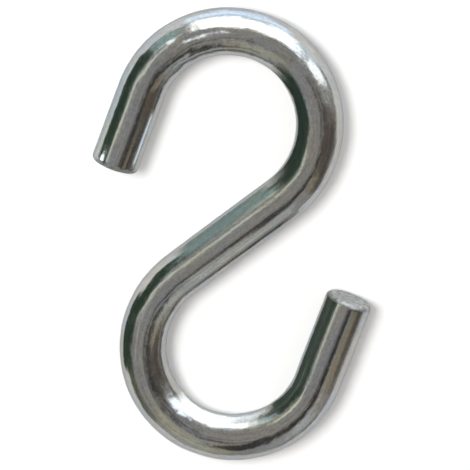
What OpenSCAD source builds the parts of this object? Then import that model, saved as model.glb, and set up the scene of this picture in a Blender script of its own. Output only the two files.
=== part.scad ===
// Open S hook, bent from one length of round steel wire.
//
// The hook lies flat, as it comes to rest: its centreline is in one plane, half a wire above Z = 0,
// its long side runs along Y, and the upper free end points down and to the left.
// Both ends are the same bend, turned half a turn about the middle of the shank.
// Origin: on the resting plane, under the middle of the hook.

/* [Wire] */
// Diameter of the round wire
wire_d = 7.8; // [6:0.1:9]
// Radius that rounds off the cut edge of each free end
end_edge_r = 1.0; // [0.3:0.1:2]

/* [Shank] */
// Straight length between the two bends
shank_len = 20.6; // [14:0.1:30]
// Slope of the shank, measured from the short side of the hook
shank_angle = 37.4; // [28:0.2:46]

/* [Bends] */
// Inside radius of the shoulder, where each bend leaves the shank
shoulder_inner_r = 11.9; // [9:0.1:15]
// Turn of the shoulder
shoulder_angle = 86; // [60:1:100]
// Inside radius of the nose, where each bend runs out into its free end
nose_inner_r = 10.8; // [9:0.1:15]
// Turn of the nose
nose_angle = 126.5; // [100:0.5:135]

/* [Free ends] */
// Straight length of the upper free end, past its bend
upper_tip_len = 13.4; // [6:0.1:18]
// Straight length of the lower free end, past its bend
lower_tip_len = 15.2; // [6:0.1:18]

/* [Hidden] */

$fn = 72;

// The shank and its shoulders are thinner than the rest of the wire by a hair, and each shoulder
// laps a sliver into its nose. The two then share a clean step, and the wire is one solid.
hair = 0.03;
lap = 0.2;

wire_r = wire_d / 2;
shank_r = wire_r - hair;

shoulder_r = shoulder_inner_r + wire_r;
nose_r = nose_inner_r + wire_r;
lap_angle = asin(lap / shoulder_r);

// Direction in which the upper free end points, measured from +X
tip_heading = shank_angle + shoulder_angle + nose_angle;

// The free ends differ in length, so the middle of the shank stands off the middle of the hook.
centre_x = (upper_tip_len - lower_tip_len) / 2 * cos(tip_heading);

zinc_grey = [0.70, 0.71, 0.70];

// The straight run between the two bends, lying along X and centred on the origin
module shank() {
    rotate([0, 90, 0])
        cylinder(r = shank_r, h = shank_len, center = true);
}

// A bend that leaves the origin along +X and turns to the left
module bend(centre_r, turn, section_r) {
    translate([0, centre_r, 0])
        rotate(-90)
            rotate_extrude(angle = turn)
                translate([centre_r, 0])
                    circle(r = section_r);
}

// Carries its children to the far end of such a bend
module past_bend(centre_r, turn) {
    translate([0, centre_r, 0])
        rotate(turn)
            translate([0, -centre_r, 0])
                children();
}

// Half the section of a free end, from its axis outwards: straight, then cut flat with a round edge
module free_end_outline(len) {
    square([wire_r, len - end_edge_r]);
    square([wire_r - end_edge_r, len]);
    translate([wire_r - end_edge_r, len - end_edge_r])
        intersection() {
            circle(r = end_edge_r);
            square(end_edge_r);
        }
}

// The straight run past a bend, leaving the origin along +X, down to its cut end
module free_end(len) {
    rotate([90, 0, 90])
        rotate_extrude()
            free_end_outline(len);
}

// Everything past one end of the shank. The nose is drawn back from where it meets its free end.
module hooked_end(tip_len) {
    bend(shoulder_r, shoulder_angle + lap_angle, shank_r);
    past_bend(shoulder_r, shoulder_angle)
        past_bend(nose_r, nose_angle) {
            mirror([1, 0, 0])
                bend(nose_r, nose_angle, wire_r);
            free_end(tip_len);
        }
}

module hook() {
    color(zinc_grey)
        translate([-centre_x, 0, wire_r])
            rotate(shank_angle) {
                shank();
                translate([shank_len / 2, 0, 0])
                    hooked_end(upper_tip_len);
                rotate(180)
                    translate([shank_len / 2, 0, 0])
                        hooked_end(lower_tip_len);
            }
}

hook();
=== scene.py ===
import math
from collections import namedtuple

import bmesh
import bpy
from mathutils import Matrix, Vector, noise


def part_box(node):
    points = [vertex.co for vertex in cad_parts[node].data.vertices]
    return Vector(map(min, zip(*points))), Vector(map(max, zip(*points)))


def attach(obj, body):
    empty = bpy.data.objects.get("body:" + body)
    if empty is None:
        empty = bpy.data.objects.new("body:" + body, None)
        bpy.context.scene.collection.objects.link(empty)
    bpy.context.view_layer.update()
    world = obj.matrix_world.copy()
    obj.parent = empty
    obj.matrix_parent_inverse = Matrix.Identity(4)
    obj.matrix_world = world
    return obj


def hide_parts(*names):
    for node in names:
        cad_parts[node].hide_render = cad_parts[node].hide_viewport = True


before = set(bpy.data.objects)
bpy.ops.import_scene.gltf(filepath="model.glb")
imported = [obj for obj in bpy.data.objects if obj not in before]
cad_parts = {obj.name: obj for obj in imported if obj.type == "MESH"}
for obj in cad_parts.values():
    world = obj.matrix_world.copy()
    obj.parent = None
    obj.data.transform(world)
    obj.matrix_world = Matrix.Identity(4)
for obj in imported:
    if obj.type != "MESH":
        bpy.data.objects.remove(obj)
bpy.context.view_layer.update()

# The wire, in metres, bent to the hook's own sizes: one straight shank, and at each end of it a shoulder
# and a tighter nose that run out into a straight free end
hook_low, hook_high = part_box("hook")
WIRE_R = (hook_high.z - hook_low.z) / 2
SHANK_LEN = 0.0206
SHANK_SLOPE = math.radians(37.4)
SHOULDER_R = 0.0119 + WIRE_R
SHOULDER_TURN = math.radians(86)
NOSE_R = 0.0108 + WIRE_R
NOSE_TURN = math.radians(126.5)
UPPER_TIP_LEN = 0.0134
LOWER_TIP_LEN = 0.0152
END_EDGE_R = 0.0010
FREE_END_HEADING = SHANK_SLOPE + SHOULDER_TURN + NOSE_TURN - math.pi

# Stretches of the wire from the upper cut end to the lower one: length, and turn to the left
BENDS = [
    (UPPER_TIP_LEN, 0),
    (NOSE_R * NOSE_TURN, -NOSE_TURN),
    (SHOULDER_R * SHOULDER_TURN, -SHOULDER_TURN),
    (SHANK_LEN, 0),
    (SHOULDER_R * SHOULDER_TURN, SHOULDER_TURN),
    (NOSE_R * NOSE_TURN, NOSE_TURN),
    (LOWER_TIP_LEN, 0),
]
WIRE_LEN = sum(length for length, turn in BENDS)
# The shank's place in that list
SHANK = 3

# How finely the wire is divided: round it, along it, over a cut's rounded edge and across its flat
AROUND = 128
RINGS = 720
EDGE_RINGS = 8
FACE_RINGS = 8

# How deep the wire's skin is marked, in metres, and how large each mark is, along the wire and round it
PEEL = 0.000016
PEEL_SIZE = (0.00090, 0.00066)
DENTS = 0.000045
DENT_SIZE = (0.0026, 0.0017)
LINES = 0.0000012
LINE_SIZE = (0.012, 0.00034)
CUT_DENTS = 0.000035
CUT_DENT_SIZE = (0.0018, 0.0011)

# The share of peel and dents that a straight has, how gently a bend's marks set in, how much less a wider
# bend is marked, and how far below the end a point still counts as the flat of the cut
STRAIGHT_PEEL = 0.10
STRAIGHT_DENTS = 0.09
BEND_EASE = 0.006
BEND_MARKING = 3
CUT_FLAT = 0.00012

# The zinc's patterns: how long each is along the wire and how wide round it, in millimetres, and its detail
PATCHES = (7, 2.2, 2)
MOTTLE = (1.6, 0.8, 2)
GRAIN = (0.42, 0.30, 1)
STREAKS = (14, 0.42, 2)
SCORES = (30, 0.16, 1)

# Where the noise goes over from warm to cool zinc, where it stops being a score line, and how soon the cut's
# finish is complete on the rounded edge
PATCH_EDGES = (0.35, 0.65)
SCORE_EDGES = (0.30, 0.37)
CUT_REACH = 2.2

ZINC_WARM = (0.455, 0.445, 0.415, 1)
ZINC_COOL = (0.425, 0.44, 0.455, 1)
ZINC_EDGE = (0.55, 0.57, 0.60, 1)

# How much each pattern lightens the zinc, roughens it and raises it
MOTTLE_LIGHT = 0.34
GRAIN_LIGHT = 0.44
STREAK_LIGHT = 0.44
SCORE_LIGHT = -0.14
CUT_LIGHT = -0.10
CUT_MOTTLE_LIGHT = 1.2
POLISHED = 0.085
MOTTLE_ROUGHNESS = 0.10
GRAIN_ROUGHNESS = 0.06
CUT_ROUGHNESS = 0.42
GRAIN_HEIGHT = 0.9
STREAK_HEIGHT = 0.3
SCORE_HEIGHT = -0.25
BUMP_DEPTH = 0.000010

# The floor, the room and the lamp: metres, and degrees from straight above and round from +X
FLOOR_R = 3.0
FLOOR_COLOUR = (0.88, 0.88, 0.88, 1)
FLOOR_ROUGHNESS = 0.8
FLOOR_GLOW = 0.14
ROOM_COLOUR = (0.43, 0.42, 0.405, 1)
LAMP_POWER = 4.8
LAMP_SIZE = 0.30
LAMP_LEAN = 24
LAMP_AZIMUTH = 140
LAMP_DISTANCE = 0.8

# The camera leans towards +Y from straight above, and looks at the height of the wire's middle
CAMERA_LEAN = math.radians(14.8)
CAMERA_TARGET = Vector((0.00039, 0.00037, WIRE_R))
CAMERA_DISTANCE = 0.553
LENS = 260.5
SENSOR = 36
NEAREST_SEEN = 0.01

# Cards that stand round the hook, only seen in its metal and only from their front. Each has the azimuth it
# stands at in degrees, its distance from the middle, its shift to its own left, its half width, foot, top and
# softness of edge in millimetres, and its colour. One at a negative distance stands past the middle and faces
# outwards.
Card = namedtuple("Card", "azimuth distance shift half_width foot top softness colour")
CARDS = {
    "teal_card": Card(128, 170, 0, 28, -20, 112, 14, (0.47, 0.65, 0.62)),
    "teal_edge": Card(128, 169, 0, 26, 106, 124, 7, (1.40, 1.50, 1.32)),
    "green_card": Card(184, 165, -82, 80, -20, 135, 20, (0.045, 0.080, 0.054)),
    "dark_card": Card(184, 163, 54, 60, -20, 98, 16, (0.050, 0.080, 0.052)),
    "olive_card": Card(222, 150, 0, 34, -20, 68, 18, (0.17, 0.19, 0.125)),
    "oak_card": Card(253, 151, 0, 34, 24, 300, 16, (0.62, 0.605, 0.485)),
    "low_screen": Card(90, 83, -3, 31, 11, 74, 5, (2.9, 3.05, 3.1)),
    "high_screen": Card(90, 84, -58, 23, 8, 108, 5, (2.9, 3.05, 3.1)),
    "far_screen": Card(45.7, 275, 0, 24, 10, 225, 10, (2.7, 2.85, 2.95)),
    "sky_card": Card(72, 100, 0, 80, -8, 34, 8, (1.05, 1.22, 1.36)),
    "side_screen": Card(25, 260, 0, 45, 60, 350, 14, (2.3, 2.45, 2.55)),
    "brown_card": Card(338, 159, 4, 62, 30, 430, 14, (0.15, 0.128, 0.108)),
    "tan_card": Card(318, 150, 0, 15, 84, 180, 10, (0.42, 0.36, 0.235)),
    "limb_flag": Card(160, 62, -14, 17, -2, 14, 2, (0.045, 0.080, 0.054)),
    "bend_flag": Card(180, 30, 16, 12, -2, 7, 1.5, (0.060, 0.090, 0.060)),
    "upper_flag": Card(180, -5, -18, 6.5, -3, 12.5, 2.5, (0.050, 0.080, 0.060)),
    "lower_flag": Card(160, -13.6, 12, 12, -2, 6.3, 0.9, (0.10, 0.135, 0.105)),
    "shank_flag": Card(127, 8.8, 0, 9, -2, 9, 2, (0.38, 0.50, 0.48)),
    "tip_strip": Card(180, 85, 32, 26, 95, 106, 3, (0.85, 0.86, 0.72)),
    "bowl_reflector": Card(90, -26, 3.0, 4, -2, 10.5, 2.5, (2.6, 2.75, 2.8)),
    "tip_reflector": Card(340, -9, 8.6, 4.5, 4.6, 7.4, 0.5, (1.3, 1.5, 1.7)),
    "bend_reflector": Card(90, 43.5, -3, 15, -1, 5.5, 1, (1.5, 1.75, 2.0)),
    "limb_reflector": Card(160, 29, -10, 11, -1, 4, 1, (0.95, 1.10, 1.15)),
    "corner_reflector": Card(230, 9.1, -33.7, 1.7, 8.2, 12.2, 0.6, (3.8, 4.0, 4.1)),
    "pale_card": Card(298, 150, 0, 22, 42, 190, 14, (0.70, 0.72, 0.69)),
    "shank_screen": Card(307.4, 16, -8, 7.5, 17, 33, 2, (0.66, 0.68, 0.65)),
    "shank_line": Card(307.4, 6.2, -6.5, 12.5, 20.8, 27, 0.8, (0.045, 0.042, 0.038)),
}

# Stand arms, bars and bulbs that the metal shows as lines and sparks: both ends and the radius at each, in
# millimetres, and their colour
Rod = namedtuple("Rod", "start end start_radius end_radius colour")
RODS = {
    "lower_arm": Rod((0, -62, 32), (47.9, -56.1, 148), 8, 17, (0.060, 0.056, 0.050)),
    "upper_arm": Rod((80, -52, 211), (0, -150, 412), 16, 18, (0.060, 0.056, 0.050)),
    "window_bar": Rod((-311, -6, 242), (-181, 159, 327), 34, 34, (1.20, 1.25, 1.02)),
    "overhead_bar": Rod((28, -50, 300), (75, -25, 300), 14, 16, (0.070, 0.065, 0.060)),
    "first_bulb": Rod((-17.8, 39.9, 17), (-16.2, 41, 17.4), 2.2, 2.0, (2.6, 2.75, 2.8)),
    "second_bulb": Rod((-9.7, 34.2, 21), (-8.2, 34.6, 21), 1.7, 2.0, (2.1, 2.25, 2.3)),
    "third_bulb": Rod((-6.6, 35, 21), (-4.9, 35.4, 21), 2.0, 1.6, (2.3, 2.4, 2.4)),
    "fourth_bulb": Rod((-2.8, 35.8, 21), (-1.6, 36, 21), 1.7, 1.7, (2.0, 2.1, 2.1)),
}
ROD_SIDES = 32


# The shape of the wire

def heading_vector(heading):
    return Vector((math.cos(heading), math.sin(heading), 0))


def follow(spot, heading, length, turn, part):
    """The spot and heading after the given part (0 to 1) of one stretch."""
    if turn == 0:
        return spot + heading_vector(heading) * length * part, heading
    radius = length / turn
    left = heading_vector(heading + math.pi / 2) * radius
    now = heading + turn * part
    return spot + left - heading_vector(now + math.pi / 2) * radius, now


def bending_table():
    """Where each stretch starts: (distance along the wire, spot, heading, length, turn)."""
    table = []
    along = 0.0
    spot = Vector((0, 0, 0))
    heading = FREE_END_HEADING
    for length, turn in BENDS:
        table.append((along, spot, heading, length, turn))
        spot, heading = follow(spot, heading, length, turn, 1)
        along += length
    # The shank's middle stands off the hook's middle by as much as the free ends differ.
    middle = follow(*table[SHANK][1:], 0.5)[0]
    stands_at = Vector(((UPPER_TIP_LEN - LOWER_TIP_LEN) / 2 * math.cos(FREE_END_HEADING), 0, WIRE_R))
    return [(a, s - middle + stands_at, h, l, t) for a, s, h, l, t in table]


def bend_wire(bm):
    """Bends the straight wire, which lies along X, over its shoulders and noses."""
    table = bending_table()
    for v in bm.verts:
        along, side, height = v.co
        stretch = [row for row in table if row[0] <= max(along, 0)][-1]
        spot, heading = follow(*stretch[1:], (along - stretch[0]) / stretch[3])
        v.co = spot + heading_vector(heading + math.pi / 2) * side + Vector((0, 0, height))


def edges_of(made):
    return [part for part in made["geom"] if isinstance(part, bmesh.types.BMEdge)]


def verts_of(edges):
    return list({v for edge in edges for v in edge.verts})


def close_end(bm, ring, outward):
    """Rounds off the cut edge past a ring of the straight wire, and closes the flat of the cut."""
    steps = []
    for k in range(1, EDGE_RINGS + 1):
        a = math.pi / 2 * k / EDGE_RINGS
        steps.append((WIRE_R - END_EDGE_R * (1 - math.cos(a)), END_EDGE_R * math.sin(a)))
    for k in range(1, FACE_RINGS):
        steps.append(((WIRE_R - END_EDGE_R) * (1 - k / FACE_RINGS), END_EDGE_R))
    radius, reach = WIRE_R, 0
    for next_radius, next_reach in steps:
        ring = edges_of(bmesh.ops.extrude_edge_only(bm, edges=ring))
        verts = verts_of(ring)
        shrink = next_radius / radius
        bmesh.ops.scale(bm, verts=verts, vec=(1, shrink, shrink))
        bmesh.ops.translate(bm, verts=verts, vec=(outward * (next_reach - reach), 0, 0))
        radius, reach = next_radius, next_reach
    verts = verts_of(ring)
    bmesh.ops.pointmerge(bm, verts=verts, merge_co=(verts[0].co.x, 0, 0))


def straight_wire():
    """The wire before it is bent, along X, with both ends closed."""
    bm = bmesh.new()
    across = Matrix.Translation((END_EDGE_R, 0, 0)) @ Matrix.Rotation(math.pi / 2, 4, "Y")
    bmesh.ops.create_circle(bm, cap_ends=False, segments=AROUND, radius=WIRE_R, matrix=across)
    upper_ring = list(bm.edges)
    lower_ring = edges_of(bmesh.ops.extrude_edge_only(bm, edges=upper_ring))
    bmesh.ops.translate(bm, verts=verts_of(lower_ring), vec=(WIRE_LEN - 2 * END_EDGE_R, 0, 0))
    rings = set(upper_ring + lower_ring)
    lengthwise = [edge for edge in bm.edges if edge not in rings]
    close_end(bm, upper_ring, -1)
    close_end(bm, lower_ring, 1)
    bmesh.ops.subdivide_edges(bm, edges=lengthwise, cuts=RINGS, use_grid_fill=True)
    bmesh.ops.recalc_face_normals(bm, faces=bm.faces)
    return bm


def mark_uv(bm):
    """U runs along the wire and V round it from its top, both in metres. The seam is underneath."""
    layer = bm.loops.layers.uv.new("wire")
    for face in bm.faces:
        face.smooth = True
        round_it = [math.atan2(loop.vert.co.y, loop.vert.co.z) for loop in face.loops]
        crosses_seam = max(round_it) - min(round_it) > math.pi
        for loop, turned in zip(face.loops, round_it):
            if crosses_seam and turned < 0:
                turned += 2 * math.pi
            loop[layer].uv = (loop.vert.co.x, turned * WIRE_R)


# The marks on its skin

def bent_share(along):
    """How much bending has marked the skin: 0 on the straights, 1 in a nose, less in a wider shoulder."""
    share, start = 0.0, 0.0
    for length, turn in BENDS:
        if turn:
            inside = min(along - start, start + length - along)
            tightness = NOSE_R * abs(turn) / length
            share = max(share, min(max(0.5 + inside / BEND_EASE, 0), 1) * tightness ** BEND_MARKING)
        start += length
    return share


def ripple(spot, along_scale, round_scale):
    """Smooth noise on the straight wire, about -1 to 1, at the given sizes in metres."""
    return noise.noise(Vector((spot.x / along_scale, spot.y / round_scale, spot.z / round_scale)))


def roughen(bm):
    """Sinks the skin a little: orange peel and dents on the bends, drawing lines, and dents on the cuts.

    It also keeps where each point was on the straight wire, and how far it is round a cut's edge.
    """
    drawn = bm.verts.layers.float_vector.new("drawn")
    cut = bm.verts.layers.float.new("cut")
    for v in bm.verts:
        spot = v.co.copy()
        v[drawn] = spot
        radius = math.hypot(spot.y, spot.z)
        from_end = min(spot.x, WIRE_LEN - spot.x)
        v[cut] = min(max(1 - from_end / END_EDGE_R, 0), 1)
        if from_end < CUT_FLAT:
            inward = CUT_DENTS * (1 + ripple(spot, *CUT_DENT_SIZE))
            v.co.x += inward if spot.x < WIRE_LEN / 2 else -inward
        if radius < WIRE_R - END_EDGE_R / 2:
            continue
        bent = bent_share(spot.x)
        depth = PEEL * (STRAIGHT_PEEL + bent) * (1 + ripple(spot, *PEEL_SIZE))
        depth += DENTS * (STRAIGHT_DENTS + bent) * (1 + ripple(spot, *DENT_SIZE))
        depth += LINES * (1 + ripple(spot, *LINE_SIZE))
        v.co.y *= 1 - depth / radius
        v.co.z *= 1 - depth / radius


# Materials

def new_material(name):
    """A material with nodes, and its node tree."""
    mat = bpy.data.materials.new(name)
    mat.use_nodes = True
    return mat, mat.node_tree


def calc(tree, operation, *values):
    """A Math node on sockets or plain numbers."""
    node = tree.nodes.new("ShaderNodeMath")
    node.operation = operation
    for socket, value in zip(node.inputs, values):
        if isinstance(value, (int, float)):
            socket.default_value = value
        else:
            tree.links.new(value, socket)
    return node.outputs[0]


def add_up(tree, start, *shares):
    """The start, plus each value times its share."""
    total = start
    for value, share in shares:
        total = calc(tree, "MULTIPLY_ADD", value, share, total)
    return total


def fade(tree, value, start, end):
    """1 up to start, falling smoothly to 0 at end."""
    node = tree.nodes.new("ShaderNodeMapRange")
    node.interpolation_type = "SMOOTHSTEP"
    tree.links.new(value, node.inputs["Value"])
    node.inputs["From Min"].default_value = start
    node.inputs["From Max"].default_value = end
    node.inputs["To Min"].default_value = 1
    node.inputs["To Max"].default_value = 0
    return node.outputs["Result"]


def drawn_pattern(tree, along, across, detail):
    """Noise laid out on the straight wire, 0 to 1, so long and so wide in millimetres."""
    place = tree.nodes.new("ShaderNodeAttribute")
    place.attribute_name = "drawn"
    stretch = tree.nodes.new("ShaderNodeMapping")
    stretch.inputs["Scale"].default_value = (1000 / along, 1000 / across, 1000 / across)
    tree.links.new(place.outputs["Vector"], stretch.inputs["Vector"])
    pattern = tree.nodes.new("ShaderNodeTexNoise")
    pattern.inputs["Scale"].default_value = 1
    pattern.inputs["Detail"].default_value = detail
    tree.links.new(stretch.outputs["Vector"], pattern.inputs["Vector"])
    return pattern.outputs["Fac"]


def mix_colours(tree, share, first, second):
    """From the first colour to the second, by a share that is a socket."""
    mix = tree.nodes.new("ShaderNodeMix")
    mix.data_type = "RGBA"
    # Of the node's sockets, 0 is the share, and 6, 7 and output 2 are the ones for colours.
    tree.links.new(share, mix.inputs[0])
    mix.inputs[6].default_value = first
    mix.inputs[7].default_value = second
    return mix.outputs[2]


def zinc_plate():
    """Bright zinc on drawn wire: cool and warm patches, drawing streaks, fine grain, duller on the cuts."""
    mat, tree = new_material("zinc_plate")
    shader = tree.nodes["Principled BSDF"]
    shader.inputs["Metallic"].default_value = 1
    shader.inputs["Specular Tint"].default_value = ZINC_EDGE
    cut_mark = tree.nodes.new("ShaderNodeAttribute")
    cut_mark.attribute_name = "cut"
    cut = calc(tree, "MINIMUM", calc(tree, "MULTIPLY", cut_mark.outputs["Fac"], CUT_REACH), 1.0)
    patches = drawn_pattern(tree, *PATCHES)
    mottle = drawn_pattern(tree, *MOTTLE)
    grain = drawn_pattern(tree, *GRAIN)
    streaks = drawn_pattern(tree, *STREAKS)
    score = fade(tree, drawn_pattern(tree, *SCORES), *SCORE_EDGES)

    # Noise runs from 0 to 1. With half taken off, it darkens the zinc as often as it lightens it.
    uneven_mottle, uneven_grain, uneven_streaks = (
        calc(tree, "SUBTRACT", pattern, 0.5) for pattern in (mottle, grain, streaks)
    )
    light = add_up(
        tree, 1.0,
        (uneven_mottle, MOTTLE_LIGHT),
        (uneven_grain, GRAIN_LIGHT),
        (uneven_streaks, STREAK_LIGHT),
        (score, SCORE_LIGHT),
        (cut, CUT_LIGHT),
        (calc(tree, "MULTIPLY", cut, uneven_mottle), CUT_MOTTLE_LIGHT),
    )
    shaded = tree.nodes.new("ShaderNodeVectorMath")
    shaded.operation = "SCALE"
    zinc = mix_colours(tree, fade(tree, patches, *PATCH_EDGES), ZINC_WARM, ZINC_COOL)
    tree.links.new(zinc, shaded.inputs[0])
    tree.links.new(light, shaded.inputs["Scale"])
    tree.links.new(shaded.outputs["Vector"], shader.inputs["Base Color"])

    rough = add_up(
        tree, POLISHED,
        (mottle, MOTTLE_ROUGHNESS),
        (grain, GRAIN_ROUGHNESS),
        (cut, CUT_ROUGHNESS),
    )
    tree.links.new(rough, shader.inputs["Roughness"])

    height = add_up(
        tree, 0.0,
        (grain, GRAIN_HEIGHT),
        (streaks, STREAK_HEIGHT),
        (score, SCORE_HEIGHT),
    )
    bump = tree.nodes.new("ShaderNodeBump")
    bump.inputs["Strength"].default_value = 1
    bump.inputs["Distance"].default_value = BUMP_DEPTH
    tree.links.new(height, bump.inputs["Height"])
    tree.links.new(bump.outputs["Normal"], shader.inputs["Normal"])
    return mat


def floor_paper():
    """White paper. Its own glow only lifts it to white where it is looked at, straight or in the metal."""
    mat, tree = new_material("floor_paper")
    shader = tree.nodes["Principled BSDF"]
    shader.inputs["Base Color"].default_value = FLOOR_COLOUR
    shader.inputs["Roughness"].default_value = FLOOR_ROUGHNESS
    shader.inputs["Emission Color"].default_value = (1, 1, 1, 1)
    ray = tree.nodes.new("ShaderNodeLightPath")
    in_metal = calc(tree, "MAXIMUM", ray.outputs["Is Glossy Ray"], ray.outputs["Is Transmission Ray"])
    looked_at = calc(tree, "MAXIMUM", ray.outputs["Is Camera Ray"], in_metal)
    tree.links.new(calc(tree, "MULTIPLY", looked_at, FLOOR_GLOW), shader.inputs["Emission Strength"])
    return mat


def glow_in(tree, colour):
    """Light of one colour, in place of the material's own shader."""
    tree.nodes.remove(tree.nodes["Principled BSDF"])
    glow = tree.nodes.new("ShaderNodeEmission")
    glow.inputs["Color"].default_value = (*colour, 1)
    return glow.outputs[0]


def card_finish(name, width, height, softness, colour):
    """A plainly lit card whose edges fade out over the given softness, clear from behind."""
    mat, tree = new_material(name)
    glow = glow_in(tree, colour)
    clear = tree.nodes.new("ShaderNodeBsdfTransparent")
    across = tree.nodes.new("ShaderNodeSeparateXYZ")
    tree.links.new(tree.nodes.new("ShaderNodeTexCoord").outputs["UV"], across.inputs[0])
    masks = []
    for axis, size in (("X", width), ("Y", height)):
        off = calc(tree, "ABSOLUTE", calc(tree, "SUBTRACT", across.outputs[axis], 0.5))
        masks.append(fade(tree, off, 0.5 - 2 * softness / size, 0.5))
    behind = tree.nodes.new("ShaderNodeNewGeometry").outputs["Backfacing"]
    in_front = calc(tree, "SUBTRACT", 1.0, behind)
    seen = calc(tree, "MULTIPLY", calc(tree, "MULTIPLY", *masks), in_front)
    mix = tree.nodes.new("ShaderNodeMixShader")
    tree.links.new(seen, mix.inputs["Fac"])
    tree.links.new(clear.outputs[0], mix.inputs[1])
    tree.links.new(glow, mix.inputs[2])
    tree.links.new(mix.outputs[0], tree.nodes["Material Output"].inputs["Surface"])
    return mat


def rod_finish(name, colour):
    mat, tree = new_material(name)
    tree.links.new(glow_in(tree, colour), tree.nodes["Material Output"].inputs["Surface"])
    return mat


# What stands in the scene

def add_mesh(name, bm, mat):
    """Hands a finished bmesh over as an object of the scene."""
    mesh = bpy.data.meshes.new(name)
    bm.to_mesh(mesh)
    bm.free()
    mesh.materials.append(mat)
    made = bpy.data.objects.new(name, mesh)
    bpy.context.scene.collection.objects.link(made)
    return made


def add_camera():
    data = bpy.data.cameras.new("camera")
    data.lens = LENS
    data.sensor_width = SENSOR
    data.clip_start = NEAREST_SEEN
    cam = bpy.data.objects.new("camera", data)
    to_camera = Vector((0, math.sin(CAMERA_LEAN), math.cos(CAMERA_LEAN)))
    cam.location = CAMERA_TARGET + to_camera * CAMERA_DISTANCE
    cam.rotation_euler = (-CAMERA_LEAN, 0, 0)
    bpy.context.scene.collection.objects.link(cam)
    bpy.context.scene.camera = cam


def add_floor():
    bm = bmesh.new()
    bmesh.ops.create_circle(bm, cap_ends=True, segments=96, radius=FLOOR_R)
    add_mesh("floor", bm, floor_paper())


def seen_in_metal(prop):
    """A studio prop that only shows in reflections."""
    prop.visible_camera = False
    prop.visible_diffuse = False
    prop.visible_shadow = False


def add_cards():
    for name, card in CARDS.items():
        width = 2 * (card.half_width + card.softness) / 1000
        height = (card.top - card.foot + 2 * card.softness) / 1000
        bm = bmesh.new()
        bm.loops.layers.uv.new("card")
        bmesh.ops.create_grid(bm, x_segments=1, y_segments=1, size=0.5, calc_uvs=True)
        bmesh.ops.scale(bm, verts=bm.verts, vec=(width, height, 1))
        # Stood up to face -X, then shifted, lifted and swung to its azimuth
        bmesh.ops.rotate(bm, verts=bm.verts, matrix=Matrix.Rotation(math.pi / 2, 3, "X"))
        bmesh.ops.rotate(bm, verts=bm.verts, matrix=Matrix.Rotation(-math.pi / 2, 3, "Z"))
        middle = Vector((card.distance, card.shift, (card.foot + card.top) / 2)) / 1000
        bmesh.ops.translate(bm, verts=bm.verts, vec=middle)
        swing = Matrix.Rotation(math.radians(card.azimuth), 3, "Z")
        bmesh.ops.rotate(bm, verts=bm.verts, matrix=swing)
        mat = card_finish(name, width, height, card.softness / 1000, card.colour)
        seen_in_metal(add_mesh(name, bm, mat))


def add_rods():
    for name, rod in RODS.items():
        low = Vector(rod.start) / 1000
        high = Vector(rod.end) / 1000
        along = high - low
        bm = bmesh.new()
        bmesh.ops.create_cone(
            bm, cap_ends=True, segments=ROD_SIDES, depth=along.length,
            radius1=rod.start_radius / 1000, radius2=rod.end_radius / 1000,
        )
        bmesh.ops.rotate(bm, verts=bm.verts, matrix=along.to_track_quat("Z", "Y").to_matrix())
        bmesh.ops.translate(bm, verts=bm.verts, vec=(low + high) / 2)
        seen_in_metal(add_mesh(name, bm, rod_finish(name, rod.colour)))


def add_room():
    world = bpy.data.worlds.new("studio")
    bpy.context.scene.world = world
    world.use_nodes = True
    world.node_tree.nodes["Background"].inputs["Color"].default_value = ROOM_COLOUR


def add_lamp():
    """A soft lamp from the upper left, which throws the hook's shadow but isn't seen in the metal."""
    data = bpy.data.lights.new("overhead_lamp", "AREA")
    data.shape = "DISK"
    data.size = LAMP_SIZE
    data.energy = LAMP_POWER
    lamp = bpy.data.objects.new("overhead_lamp", data)
    bpy.context.scene.collection.objects.link(lamp)
    lean = math.radians(LAMP_LEAN)
    azimuth = math.radians(LAMP_AZIMUTH)
    to_lamp = Vector((math.sin(lean) * math.cos(azimuth), math.sin(lean) * math.sin(azimuth), math.cos(lean)))
    lamp.location = to_lamp * LAMP_DISTANCE
    lamp.rotation_euler = to_lamp.to_track_quat("Z", "Y").to_euler()
    lamp.visible_glossy = False


def add_hook():
    bm = straight_wire()
    mark_uv(bm)
    roughen(bm)
    bend_wire(bm)
    hook = add_mesh("bent_wire", bm, zinc_plate())
    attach(hook, "root")
    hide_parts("hook")


add_camera()
add_floor()
add_cards()
add_rods()
add_room()
add_lamp()
add_hook()
bpy.context.scene.view_settings.view_transform = "Standard"
